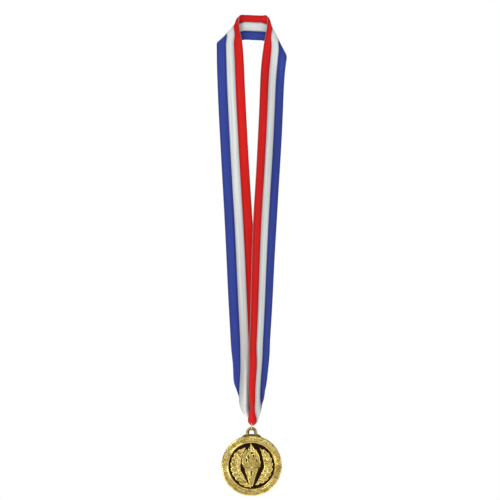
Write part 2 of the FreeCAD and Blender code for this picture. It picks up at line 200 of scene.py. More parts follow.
def step_node(tree, value, start, end):
    """0 at start and 1 at end, smoothly."""
    node = tree.nodes.new("ShaderNodeMapRange")
    node.interpolation_type = "SMOOTHSTEP"
    put(tree, node.inputs["Value"], value)
    node.inputs["From Min"].default_value = start
    node.inputs["From Max"].default_value = end
    return node.outputs[0]


def noise_node(tree, vector, scale, detail=2.0, roughness=0.5):
    node = tree.nodes.new("ShaderNodeTexNoise")
    put(tree, node.inputs["Vector"], vector)
    node.inputs["Scale"].default_value = scale
    node.inputs["Detail"].default_value = detail
    node.inputs["Roughness"].default_value = roughness
    return node.outputs[0]


def combine_node(tree, x, y):
    node = tree.nodes.new("ShaderNodeCombineXYZ")
    for socket, value in zip(node.inputs, (x, y)):
        put(tree, socket, value)
    return node.outputs[0]


def bump_node(tree, height, strength, distance):
    node = tree.nodes.new("ShaderNodeBump")
    node.inputs["Strength"].default_value = strength
    node.inputs["Distance"].default_value = distance
    put(tree, node.inputs["Height"], height)
    return node.outputs[0]


def object_coordinates(tree):
    return tree.nodes.new("ShaderNodeTexCoord").outputs["Object"]


RED = (0.700, 0.010, 0.008, 1.0)
WHITE = (0.720, 0.730, 0.715, 1.0)
BLUE = (0.034, 0.056, 0.310, 1.0)
RED_EDGE = 0.345         # share of the width where red meets white, from the red edge
BLUE_EDGE = 0.645        # and where white meets blue
RIB_PITCH = 0.85         # one cross rib of the weave to the next, millimetres
WARP_THREADS = 58.0      # raised warp threads across the ribbon
STRIPE_BLUR = 0.012      # half the width over which one stripe turns into the next
WEAVE_MAP = "weave"


def ribbon_material():
    """Three woven stripes with cross ribs and lengthwise warp streaks, with painted shade at the stripe edges
    and between the ribs, and a painted highlight along both woven edges.
    """
    material, tree, shader = new_material("striped_ribbon")
    weave = tree.nodes.new("ShaderNodeUVMap")
    weave.uv_map = WEAVE_MAP
    parts = tree.nodes.new("ShaderNodeSeparateXYZ")
    tree.links.new(weave.outputs[0], parts.inputs[0])
    across, along = parts.outputs[0], parts.outputs[1]
    # The colours interlock thread by thread, so each boundary is ragged at rib scale.
    ribs = math_node(tree, "MULTIPLY", along, 1.0 / RIB_PITCH)
    ragged = noise_node(tree, combine_node(tree, 0.0, ribs), 1.0)
    wander = math_node(tree, "MULTIPLY_ADD", ragged, 0.016, -0.008)
    place = math_node(tree, "ADD", across, wander)
    to_white = step_node(tree, place, RED_EDGE - STRIPE_BLUR, RED_EDGE + STRIPE_BLUR)
    to_blue = step_node(tree, place, BLUE_EDGE - STRIPE_BLUR, BLUE_EDGE + STRIPE_BLUR)
    colour = mix_colours(tree, to_white, RED, WHITE)
    colour = mix_colours(tree, to_blue, colour, BLUE)
    # Warp threads run lengthwise, each a little lighter or darker than its neighbours.
    fine = noise_node(tree, combine_node(tree, math_node(tree, "MULTIPLY", across, 75.0),
                                         math_node(tree, "MULTIPLY", along, 0.05)), 1.0, 3.0, 0.6)
    broad = noise_node(tree, combine_node(tree, math_node(tree, "MULTIPLY", across, 16.0),
                                          math_node(tree, "MULTIPLY", along, 0.012)), 1.0, 1.0)
    streak = math_node(tree, "ADD", math_node(tree, "MULTIPLY", fine, 0.45),
                       math_node(tree, "MULTIPLY", broad, 0.55))
    tone = step_node(tree, streak, 0.34, 0.64)
    colour = tinted(tree, colour, tone, 0.50, (0.56, 0.62, 0.58, 1.0))
    # Painted shade: each stripe is darker towards its own two edges, which leaves its middle as a painted
    # highlight.
    inside = math_node(tree, "PINGPONG", across, 1.0 / 6.0)
    painted_stripe_edge_shade = step_node(tree, inside, 0.11, 0.0)
    colour = tinted(tree, colour, painted_stripe_edge_shade, 0.62, (0.36, 0.40, 0.48, 1.0))
    # Ribs: rounded ridges across the ribbon, with painted shade where the weft sinks between them.
    wave = math_node(tree, "SINE", math_node(tree, "MULTIPLY", along, 2.0 * math.pi / RIB_PITCH))
    rib = math_node(tree, "MULTIPLY_ADD", wave, 0.5, 0.5)
    sunk = step_node(tree, rib, 0.45, 0.0)
    colour = tinted(tree, colour, sunk, 0.16, (0.5, 0.5, 0.55, 1.0))
    # Painted highlight: a paler line along both edges of the ribbon, where the closely woven edge catches the
    # light.
    edge = math_node(tree, "ABSOLUTE", math_node(tree, "SUBTRACT", across, 0.5))
    painted_edge_highlight = step_node(tree, edge, 0.482, 0.494)
    colour = mix_colours(tree, math_node(tree, "MULTIPLY", painted_edge_highlight, 0.22), colour, WHITE)
    put(tree, shader.inputs["Base Color"], colour)
    thread = math_node(tree, "SINE", math_node(tree, "MULTIPLY", across, 2.0 * math.pi * WARP_THREADS))
    height = math_node(tree, "ADD", rib, math_node(tree, "MULTIPLY", thread, 0.18))
    put(tree, shader.inputs["Normal"], bump_node(tree, height, 0.35, 0.00012))
    put(tree, shader.inputs["Roughness"], math_node(tree, "MULTIPLY_ADD", tone, 0.18, 0.55))
    shader.inputs["Sheen Weight"].default_value = 0.04
    shader.inputs["Sheen Roughness"].default_value = 0.4
    shader.inputs["Specular IOR Level"].default_value = 0.13
    return material


GOLD_LIGHT = (0.800, 0.640, 0.215, 1.0)
GOLD_DEEP = (0.560, 0.400, 0.090, 1.0)
GOLD_DULL = (0.330, 0.225, 0.050, 1.0)
# Dark brown for the random cast specks and for the painted shade in the hollows.
SPECK_AND_SHADE_BROWN = (0.050, 0.026, 0.006, 1.0)


def gold_material(name, hollow_shade_attribute, grain):
    """Plated metal with uneven colour, a fine cast grain and painted shade darkening its hollows."""
    material, tree, shader = new_material(name)
    place = object_coordinates(tree)
    cloud = noise_node(tree, place, 170.0, 3.0, 0.6)
    colour = mix_colours(tree, step_node(tree, cloud, 0.35, 0.70), GOLD_LIGHT, GOLD_DEEP)
    # Random darker, duller patches over the metal.
    dull_patches = noise_node(tree, place, 240.0, 4.0, 0.6)
    colour = mix_colours(tree, math_node(tree, "MULTIPLY", step_node(tree, dull_patches, 0.49, 0.62), 0.75),
                         colour, GOLD_DULL)
    speck = noise_node(tree, place, 900.0, 2.0, 0.55)
    shade = math_node(tree, "MULTIPLY", step_node(tree, speck, 0.60, 0.78), 0.35)
    # Painted shade: the metal is darkened in its hollows by a per-corner amount, broken up by the colour
    # cloud.
    if hollow_shade_attribute:
        held = tree.nodes.new("ShaderNodeAttribute")
        held.attribute_name = hollow_shade_attribute
        broken = math_node(tree, "MULTIPLY_ADD", cloud, 0.6, 0.7)
        hollow_shade = math_node(tree, "MULTIPLY", held.outputs["Fac"], broken)
        shade = math_node(tree, "MAXIMUM", shade, step_node(tree, hollow_shade, 0.15, 0.75))
    colour = mix_colours(tree, shade, colour, SPECK_AND_SHADE_BROWN)
    put(tree, shader.inputs["Base Color"], colour)
    shader.inputs["Metallic"].default_value = 1.0
    rough = math_node(tree, "MULTIPLY_ADD", cloud, 0.20, 0.18)
    put(tree, shader.inputs["Roughness"], math_node(tree, "MULTIPLY_ADD", shade, 0.3, rough))
    grains = math_node(tree, "ADD", math_node(tree, "MULTIPLY", cloud, 0.8), speck)
    put(tree, shader.inputs["Normal"], bump_node(tree, grains, grain, 0.00018))
    return material


def fill_material():
    """Dark enamel fill, almost black, with a soft gloss."""
    material, tree, shader = new_material("dark_fill")
    place = object_coordinates(tree)
    cloud = noise_node(tree, place, 260.0, 3.0, 0.6)
    colour = mix_colours(tree, cloud, (0.004, 0.001, 0.0005, 1.0), (0.022, 0.007, 0.002, 1.0))
    put(tree, shader.inputs["Base Color"], colour)
    put(tree, shader.inputs["Roughness"], math_node(tree, "MULTIPLY_ADD", cloud, 0.25, 0.40))
    put(tree, shader.inputs["Normal"], bump_node(tree, cloud, 0.25, 0.0001))
    shader.inputs["Specular IOR Level"].default_value = 0.06
    return material


def thread_material():
    """White polyester sewing thread, twisted."""
    material, tree, shader = new_material("sewing_thread")
    place = object_coordinates(tree)
    twist = noise_node(tree, place, 2600.0, 2.0)
    colour = mix_colours(tree, twist, (0.62, 0.61, 0.58, 1.0), (0.82, 0.81, 0.78, 1.0))
    put(tree, shader.inputs["Base Color"], colour)
    put(tree, shader.inputs["Normal"], bump_node(tree, twist, 0.4, 0.0001))
    shader.inputs["Roughness"].default_value = 0.6
    shader.inputs["Sheen Weight"].default_value = 0.15
    return material


# ---------------------------------------------------------------- the ribbon's shape

THICK = 0.34             # one layer of ribbon
BAND_TOP = 11.2          # neck band's top edge above the origin
BAND_WIDE = 22.2         # ribbon across as it shows at the band, leaning a little
BAND_BACK = -0.3         # neck band's depth
BAND_MIDDLE = -0.2       # where the two sides of the strip are measured from
LEFT_CORNER = -10.6      # inner edge of the left leg at its fold
RIGHT_CORNER = 13.0      # and of the right leg
PIECE_SPLIT = -118.0     # height where the top piece meets the leg pieces
GATHER_SPLIT = -262.0    # height where the leg pieces meet the gather pieces
BUNCH_FOOT = -334.0      # lowest point of the bunched ribbon
ACROSS = np.linspace(0.0, 1.0, 27)

# Edges of each leg: height and how far across, for the red (inner) and the blue (outer)
# edge, and the depth of both edges.
LEFT_INNER = ((-340.0, 6.5), (-263.0, 5.3), (-229.0, 4.0), (-190.0, 2.3), (-162.0, 0.8), (-128.0, -1.4),
              (-95.0, -3.3), (-61.0, -5.05), (-45.0, -5.8), (-27.0, -6.6), (-14.0, -7.6), (12.0, -10.6))
LEFT_OUTER = ((-340.0, -13.2), (-289.0, -16.4), (-263.0, -17.7), (-229.0, -19.6), (-195.0, -21.2),
              (-162.0, -22.8), (-128.0, -24.7), (-95.0, -26.5), (-61.0, -28.2), (-45.0, -28.8),
              (-27.0, -29.3), (-14.0, -29.3), (12.0, -29.3))
LEFT_DEPTHS = ((-340.0, -1.6, -3.4), (-245.0, -2.2, -3.2), (-190.0, -2.7, -3.0), (-128.0, -3.3, -2.8),
               (-75.0, -4.0, -3.0), (-45.0, -4.4, -3.4), (-14.0, -4.9, -4.2), (12.0, -4.9, -4.6))
RIGHT_INNER = ((-340.0, -4.4), (-283.0, -2.7), (-254.0, -1.4), (-229.0, -0.7), (-208.0, -0.2), (-178.0, 0.6),
               (-155.0, 1.6), (-128.0, 3.3), (-95.0, 5.05), (-61.0, 6.6), (-45.0, 7.2), (-27.0, 8.5),
               (-14.0, 10.2), (12.0, 12.4))
RIGHT_OUTER = ((-340.0, 11.4), (-289.0, 13.9), (-262.0, 15.6), (-229.0, 17.6), (-195.0, 19.3), (-162.0, 21.2),
               (-128.0, 23.2), (-95.0, 25.2), (-61.0, 26.7), (-47.0, 27.4), (-37.0, 28.3), (-27.0, 29.4),
               (12.0, 30.0))
RIGHT_DEPTHS = ((-340.0, -11.4, 5.0), (-245.0, -10.8, 4.7), (-128.0, -9.7, 3.9), (-75.0, -8.6, 4.1),
                (-45.0, -7.2, 3.6), (-24.0, -5.2, 3.0), (12.0, -3.0, 3.0))
# How the neck band stands off a flat one: height, then how far up and how far back.
BAND_TIP = ((-11.0, 0.9, 0.8), (-3.7, 0.6, 0.0), (3.4, 1.2, 0.0), (11.2, -0.2, 2.0))
# The gathers: height, then across and depth at each share of the width in GATHER_SHARES,
# from the red edge to the blue edge.
GATHER_SHARES = (0.0, 0.17, 0.345, 0.5, 0.645, 0.82, 1.0)
LEFT_GATHER = (
    (-262.0, (5.6, 1.0), (1.2, 0.8), (-3.2, 0.5), (-6.9, 0.0), (-10.3, -0.2), (-14.0, -0.3), (-17.7, -0.4)),
    (-290.0, (3.8, 1.2), (0.9, 0.6), (-2.5, 0.2), (-5.9, -0.3), (-9.3, -0.3), (-12.6, 0.2), (-15.7, 0.9)),
    (-304.5, (3.0, 1.6), (0.4, 0.6), (-2.6, -0.4), (-6.2, -1.1), (-9.9, -0.6), (-12.0, 1.0), (-12.7, 3.4)),
    (-313.0, (2.4, 2.0), (0.0, 0.6), (-2.5, -0.9), (-6.4, -1.8), (-9.8, -0.6), (-9.7, 2.4), (-6.4, 5.0)),
    (-319.6, (1.8, 1.8), (-0.4, 0.4), (-2.6, -1.4), (-6.4, -2.2), (-8.9, -0.4), (-7.2, 3.0), (-3.0, 4.8)),
    (-325.4, (1.2, 1.0), (-0.6, -0.2), (-2.0, -1.8), (-4.6, -2.0), (-5.4, 0.2), (-2.8, 2.2), (-0.2, 3.0)),
    (-329.6, (0.8, 0.4), (-0.6, -0.4), (-1.4, -1.6), (-2.2, -1.4), (-2.0, 0.0), (-0.8, 1.2), (0.4, 1.8)),
    (-333.4, (0.6, 0.0), (0.0, -0.2), (-0.3, -0.5), (-0.6, -0.3), (-0.6, 0.2), (-0.4, 0.6), (0.2, 0.8)),
)
RIGHT_GATHER = (
    (-262.0, (-1.5, -8.0), (1.5, -5.4), (4.7, -2.6), (7.6, 0.0), (10.2, 2.4), (13.3, 5.0), (16.7, 7.8)),
    (-290.0, (-2.4, -7.6), (0.9, -6.2), (4.1, -3.4), (6.2, -0.4), (7.9, 2.2), (10.9, 5.2), (13.8, 8.0)),
    (-304.5, (-2.8, -6.2), (0.4, -6.7), (3.3, -4.4), (5.3, -1.6), (6.9, 1.2), (9.8, 4.4), (11.7, 7.6)),
    (-313.0, (-2.2, -4.8), (0.6, -6.8), (3.2, -5.0), (5.2, -2.2), (6.9, 1.0), (9.9, 4.2), (8.0, 6.6)),
    (-319.6, (-1.8, -3.6), (0.8, -6.6), (2.9, -5.0), (5.3, -2.6), (7.4, 0.8), (7.6, 4.4), (3.2, 5.6)),
    (-325.4, (-2.8, -2.4), (0.5, -6.6), (3.5, -4.6), (6.0, -2.2), (6.6, 1.0), (4.6, 4.0), (0.6, 4.6)),
    (-329.0, (-3.1, -1.8), (0.6, -6.3), (4.1, -4.2), (5.5, -1.8), (5.4, 1.0), (3.4, 3.6), (-0.6, 3.8)),
    (-331.8, (-2.6, -1.4), (0.6, -5.6), (3.6, -3.6), (4.4, -1.4), (4.0, 0.8), (2.4, 2.8), (-0.6, 2.8)),
    (-334.0, (-0.6, -0.6), (0.6, -2.6), (1.6, -1.6), (1.8, -0.6), (1.6, 0.2), (1.0, 1.0), (0.2, 1.0)),
)


def along_table(table, height):
    """The columns of a table of (height, values) rows, read smoothly at a height."""
    rows = np.array(table)
    return natural_spline(rows[:, 0], rows[:, 1:], height)


def edge_section(inner, outer, depths, height, share):
    """Across and depth of a leg at a height; share is 0 at the red edge, 1 at the blue."""
    depth = along_table(depths, height)
    red, blue = along_table(inner, height)[..., 0], along_table(outer, height)[..., 0]
    across = red * (1.0 - share) + blue * share
    return np.stack([across, depth[..., 0] * (1.0 - share) + depth[..., 1] * share], axis=-1)


def camber(height, share, phase):
    """How far a leg's middle stands off the line between its edges: cloth is never flat."""
    wave = 0.55 * np.sin(height / 31.0 + phase) + 0.35 * np.sin(height / 13.0 + 2.0 * phase)
    return wave * 4.0 * share * (1.0 - share)


def leg_section(side, height, share):
    left, right = (LEFT_INNER, LEFT_OUTER, LEFT_DEPTHS), (RIGHT_INNER, RIGHT_OUTER, RIGHT_DEPTHS)
    flat = edge_section(*(left if side < 0 else right), height, share)
    flat[..., 1] += camber(height, share, 0.6 if side < 0 else 2.1)
    return flat


def gather_section(side, height, share):
    """The bunching part of a leg, joined on to the plain leg above it."""
    table = LEFT_GATHER if side < 0 else RIGHT_GATHER
    rows = sorted(table)
    levels = [row[0] for row in rows]
    nets = np.array([[list(pair) for pair in row[1:]] for row in rows])
    columns = natural_spline(levels, nets.reshape(len(rows), -1), height)
    columns = columns.reshape(height.shape + (len(GATHER_SHARES), 2))
    flat_height = height.reshape(-1)
    out = np.zeros((flat_height.size, 2))
    flat_share = share.reshape(-1)
    flat_columns = columns.reshape(flat_height.size, len(GATHER_SHARES), 2)
    order, first = np.unique(flat_height, return_index=True)
    for level, start in zip(order, first):
        chosen = flat_height == level
        out[chosen] = natural_spline(GATHER_SHARES, flat_columns[start], flat_share[chosen])
    out = out.reshape(height.shape + (2,))
    out[..., 1] += HANG_DEPTH
    # Small pleats deepen towards the ring, where the cloth is squeezed most.
    squeeze = smooth_step(height, -266.0, -318.0) * (1.0 - smooth_step(height, -321.0, -329.0))
    pleat = 0.85 * squeeze * np.sin(2.0 * math.pi * (4.5 * share + 0.15 * side))
    out[..., 0] += pleat * 0.4
    out[..., 1] += pleat
    return out


def corner_of(side):
    return LEFT_CORNER if side < 0 else RIGHT_CORNER


def leg_travel(side, height):
    """Distance along the ribbon from the middle of the band down to a height on a leg."""
    return BAND_TOP + abs(corner_of(side) - BAND_MIDDLE) - height


def fold_point(side, share, travel):
    """The band turning down into a leg: a flat layer in front, a roll, a layer behind.

    travel is the distance along the ribbon from the middle of the neck band."""
    across = BAND_WIDE * share
    corner = corner_of(side)
    unrolled = leg_travel(side, travel)
    diagonal = math.sqrt(2.0)
    lengthwise = (unrolled - BAND_TOP - across) / diagonal      # along the fold line, falling outwards
    outward = np.clip(-lengthwise / (BAND_WIDE * diagonal), 0.0, 1.0)
    radius = 2.3 if side < 0 else 1.1 + 2.6 * outward       # the right fold opens outwards
    start = BAND_TOP - 0.5 * math.pi * diagonal * radius
    beyond = (across + unrolled - start) / diagonal
    turn = np.clip(beyond / radius, 0.0, math.pi)
    past = np.maximum(beyond - math.pi * radius, 0.0)
    reach = np.where(beyond < 0.0, beyond, radius * np.sin(turn) - past)
    shift = (reach - beyond) / diagonal
    flat_across = across + shift
    flat_height = unrolled + shift
    depth = BAND_BACK - radius * (1.0 + np.cos(turn))
    flat_height, depth = tip_band(side, flat_across, flat_height, depth)
    flat_across, depth = lean_in(side, flat_across, flat_height, depth)
    if side > 0:
        flat_across, flat_height, depth = loosen_right(flat_across, flat_height, depth)
    return corner + side * flat_across, depth, flat_height


def tip_band(side, across, height, depth):
    """Between the folds the band dips a little to the right and both its edges tip back."""
    between = smooth_step(-across, 0.5, 5.0)
    lift, back = np.moveaxis(along_table(BAND_TIP, height), -1, 0)
    dip = 0.03 * (corner_of(side) + side * across)
    return height + between * (lift - dip), depth + between * back


def lean_in(side, across, height, depth):
    """Below the fold the legs already close in, and the red edge curls back at the top."""
    outside = smooth_step(across, -0.5, 2.5)
    fall = BAND_TOP - height
    lean = 0.13 * (fall - soft_ramp(fall - 26.5, 2.0)) if side < 0 else 0.14 * fall
    curl = smooth_step(height, -16.0, -6.0)
    body = smooth_step(across, 0.0, 8.0)
    shift = outside * (lean + curl * (1.8 * body - 1.2 * (1.0 - body)))
    return across - shift, depth + 2.0 * outside * curl * (1.0 - body)


def loosen_right(across, height, depth):
    """The right fold isn't pressed flat: it turns back and hangs lower towards its edge."""
    beyond = soft_ramp(across - 0.5, 2.0)
    turn = np.radians(8.0 + 18.0 * smooth_step(height, 6.0, -16.0))
    turned = across - beyond + beyond * np.cos(turn)
    return turned, height - 0.55 * soft_ramp(across - 2.0, 3.0), depth + beyond * np.sin(turn)


def top_side(side, share, travel):
    """Neck band, fold and upper leg on one side."""
    x, y, z = fold_point(side, share, travel)
    unrolled = leg_travel(side, travel)
    drop = 0.0
    if side > 0:
        outer = BAND_WIDE * share
        drop = 0.55 * soft_ramp(outer - 2.0, 3.0) * (1.0 - smooth_step(unrolled, -30.0, -112.0))
    leg_height = unrolled - drop
    section = leg_section(side, leg_height, share)
    fold_line = BAND_TOP - BAND_WIDE * share
    settle = smooth_step(unrolled, fold_line - 6.0, fold_line - 26.0)
    x = x * (1.0 - settle) + section[..., 0] * settle
    y = y * (1.0 - settle) + section[..., 1] * settle
    z = z * (1.0 - settle) + leg_height * settle
    return np.stack([x, y, z], axis=-1)


def strip_object(name, grid, shares, travel):
    """A closed strip of cloth about a grid of points, with its weave map."""
    rows, columns = grid.shape[:2]
    normal = grid_normals(grid)
    front = (grid + normal * THICK * 0.5).reshape(-1, 3)
    back = (grid - normal * THICK * 0.5).reshape(-1, 3)
    count = rows * columns
    faces = grid_faces(rows, columns)
    faces += [tuple(reversed(face)) for face in grid_faces(rows, columns, count)]
    border = [i * columns for i in range(rows)]
    border += [(rows - 1) * columns + j for j in range(1, columns)]
    border += [i * columns + columns - 1 for i in range(rows - 2, -1, -1)]
    border += [j for j in range(columns - 2, 0, -1)]
    for here, following in zip(border, border[1:] + border[:1]):
        faces.append((here, here + count, following + count, following))
    made = add_object(name, np.vstack([front, back]), faces)
    made.data.set_sharp_from_angle(angle=math.radians(60.0))
    weave = np.stack(np.broadcast_arrays(shares, travel), axis=-1).reshape(-1, 2)
    add_corner_map(made, WEAVE_MAP, np.vstack([weave, weave]))
    made.data.materials.append(RIBBON)
    return made


def band_and_tops():
    """The neck band, both folds and the upper legs, one strip from leg to leg."""
    shares = ACROSS[None, :]
    steps = np.concatenate([np.linspace(0.0, 0.5, 136), np.linspace(0.5, 1.0, 71)[1:]])[:, None]
    left_run, right_run = steps * leg_travel(-1, PIECE_SPLIT), steps * leg_travel(1, PIECE_SPLIT)
    left = top_side(-1, shares, left_run)
    right = top_side(1, shares, right_run)
    left[-1, :, 2] = PIECE_SPLIT
    right[-1, :, 2] = PIECE_SPLIT
    middle = 0.5 * (left[:1] + right[:1])
    grid = np.concatenate([left[:0:-1], middle, right[1:]])
    run = np.concatenate([-left_run[:0:-1], [[0.0]], right_run[1:]])
    made = strip_object("ribbon_band_and_tops", grid, shares, run)
    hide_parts("ribbon_neck_band", "ribbon_fold_left", "ribbon_fold_right",
                "ribbon_left_top", "ribbon_right_top")
    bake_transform(made)


def leg_piece(side, name, *nodes):
    heights = np.linspace(PIECE_SPLIT, GATHER_SPLIT, 132)[:, None]
    shares = ACROSS[None, :]
    height, share = np.broadcast_arrays(heights, shares)
    section = leg_section(side, height, share)
    grid = np.concatenate([section[..., :1], section[..., 1:], height[..., None]], axis=-1)
    if side < 0:
        grid = grid[::-1]
        heights = heights[::-1]
    made = strip_object(name, grid, shares, side * leg_travel(side, heights))
    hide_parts(*nodes)
    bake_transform(made)


def gather_piece(side, name, *nodes):
    heights = np.concatenate([np.linspace(GATHER_SPLIT, -318.0, 64),
                              np.linspace(-318.0, BUNCH_FOOT, 40)[1:]])[:, None]
    shares = np.linspace(0.0, 1.0, 53)[None, :]
    height, share = np.broadcast_arrays(heights, shares)
    plain = leg_section(side, height, share)
    bunched = gather_section(side, height, share)
    settle = smooth_step(height, GATHER_SPLIT, GATHER_SPLIT - 22.0)[..., None]
    section = plain * (1.0 - settle) + bunched * settle
    grid = np.concatenate([section, height[..., None]], axis=-1)
    if side < 0:
        grid = grid[::-1]
        heights = heights[::-1]
    made = strip_object(name, grid, shares, side * leg_travel(side, heights))
    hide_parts(*nodes)
    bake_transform(made)


def tail_pieces():
    """Both cut ends turned up behind the bunch, one in the other, and pleated close together."""
    rises = np.linspace(0.0, 1.0, 42)[:, None]
    shares = np.linspace(0.0, 1.0, 81)[None, :]
    rise, share = np.broadcast_arrays(rises, shares)
    foot, top = tails_low[2] - 2.0, tails_high[2]
    half = 2.7 + 4.1 * smooth_step(rise, 0.05, 0.5)
    pleats = np.sin(2.0 * math.pi * 2.5 * share + 0.4)
    x = half * (2.0 * share - 1.0) + 0.4 * np.sin(4.0 * rise)
    y = 0.5 * (tails_low[1] + tails_high[1]) + 0.4 + 1.75 * pleats
    z = foot + (top - foot) * rise + 0.5 * np.sin(5.0 * share) * rise
    grid = np.stack([x, y, z], axis=-1)
    normal = grid_normals(grid)
    normal *= np.sign(normal[..., 1:2].mean())
    for name, stand, longer in (("ribbon_tail_left", -0.19, 0.0), ("ribbon_tail_right", 0.19, 0.9)):
        layer = grid + normal * stand
        layer[..., 2] += longer * rise
        made = strip_object(name, layer, 1.0 - shares, rise * 27.0)
        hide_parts("ribbon_tails")
        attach(made, "lower_legs")
    return grid + normal * (0.19 + 0.5 * THICK)


def thread_capsule(start, end, radius):
    """Corners and faces of one stitch: a bowed thread between two points."""
    sides = 8
    start, end = np.array(start, float), np.array(end, float)
    along = end - start
    length = np.linalg.norm(along)
    along /= length
    side = np.cross(along, (0.0, 1.0, 0.0))
    side /= np.linalg.norm(side)
    out = np.cross(side, along)
    out *= math.copysign(1.0, out[1])
    stations = np.linspace(0.0, 1.0, 9)
    corners = []
    for station in stations:
        swell = radius * (0.35 + 0.65 * math.sin(math.pi * station) ** 0.4)
        centre = start + along * length * station + out * radius * 1.4 * math.sin(math.pi * station)
        for k in range(sides):
            angle = 2.0 * math.pi * k / sides
            corners.append(centre + swell * (math.cos(angle) * side + math.sin(angle) * out))
    faces = grid_faces(len(stations), sides, closed=True)
    faces.append(tuple(range(sides)))
    last = (len(stations) - 1) * sides
    faces.append(tuple(reversed(range(last, last + sides))))
    return corners, faces


def bar_tack(back):
    """Rows of zigzag stitches drawn tight across the back of the pleated tails."""
    corners, faces = [], []
    columns = back.shape[1]
    for row in (15, 20, 25, 30):
        picks = list(range(14, columns - 14, 2))
        for k, (first, second) in enumerate(zip(picks, picks[1:])):
            lift = 1 if k % 2 else -1
            made, joined = thread_capsule(back[row + lift, first], back[row - lift, second], 0.17)
            faces += [tuple(i + len(corners) for i in face) for face in joined]
            corners += made
    tack = add_object("bar_tack", corners, faces)
    tack.data.materials.append(thread_material())
    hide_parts("end_stitches")
    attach(tack, "lower_legs")


# ---------------------------------------------------------------- the medal's relief

FIELD_RADIUS = 18.9
RIM_HEIGHT = 1.2         # rim above the field's floor
FILL_LEVEL = 0.30        # top of the dark fill above the floor
TORCH_LEFT = 0.6         # the torch stands this far left of the middle


def dome(distance, radius, height):
    """A rounded ridge: full height on its line, nought at its radius."""
    return height * np.sqrt(np.clip(1.0 - (distance / radius) ** 2, 0.0, 1.0))


def tongue(x, z, points, root, tip, height):
    """A flame tongue: a curved stroke through three points, tapering to its tip."""
    (x0, z0), (x1, z1), (x2, z2) = points
    best = np.zeros_like(x)
    for t in np.linspace(0.0, 1.0, 70):
        cx = (1 - t) ** 2 * x0 + 2 * t * (1 - t) * x1 + t * t * x2
        cz = (1 - t) ** 2 * z0 + 2 * t * (1 - t) * z1 + t * t * z2
        radius = root + (tip - root) * t ** 1.3
        best = np.maximum(best, dome(np.hypot(x - cx, z - cz), radius, height * (1.0 - 0.25 * t)))
    return best


def laurel(x, z, side):
    """One branch: a close mass of overlapping leaves in two banks about a sunk stem."""
    radius = np.hypot(x, z)
    rise = np.degrees(np.arctan2(z, side * x))              # -90 at the foot, up to the tip
    outer = 17.6 - 1.4 * smooth_step(rise, 40.0, 68.0) - side * 0.9 * smooth_step(rise, -48.0, -66.0)
    inner = np.interp(rise, (-90.0, -60.0, -30.0, 0.0, 30.0, 70.0), (11.0, 9.5, 9.0, 8.6, 9.0, 12.5))
    middle = 0.5 * (outer + inner)
    bank = (radius - middle) / (0.5 * (outer - inner))
    run = np.radians(rise) * 13.0 - 2.6 * np.abs(bank) * np.where(bank > 0.0, 1.0, 0.8)
    leaves = run / 3.5 + np.where(bank > 0.0, 0.0, 0.5)
    ripple = np.abs(np.sin(math.pi * leaves))
    midrib = np.exp(-((np.mod(leaves, 1.0) - 0.5) / 0.07) ** 2)
    edge = outer + 0.9 * (ripple ** 0.7 - 0.5) - radius
    inside = np.minimum(edge, side * x - torch_gap_half(z, side))
    inside = np.minimum(inside, (71.0 - rise) * 0.27)
    inside = np.minimum(inside, (rise + 89.0) * 0.25)
    body = np.sqrt(np.clip(inside / 0.9, 0.0, 1.0)) * (inside > 0.0)
    shape = 0.52 + 0.42 * ripple ** 0.55 - 0.12 * midrib
    shape = shape - 0.30 * np.exp(-(bank / 0.10) ** 2) * (rise < 62.0)
    return body * shape


def wedge(x, z, heights, halves, height, edge):
    """A straight-sided upright figure whose half width follows its height."""
    half = np.interp(z, heights, halves, left=0.0, right=0.0)
    inside = half - np.abs(x)
    ends = np.minimum(z - heights[0], heights[-1] - z)
    depth = np.minimum(inside, ends)
    return height * np.sqrt(np.clip(depth / edge, 0.0, 1.0)) * (depth > 0.0)


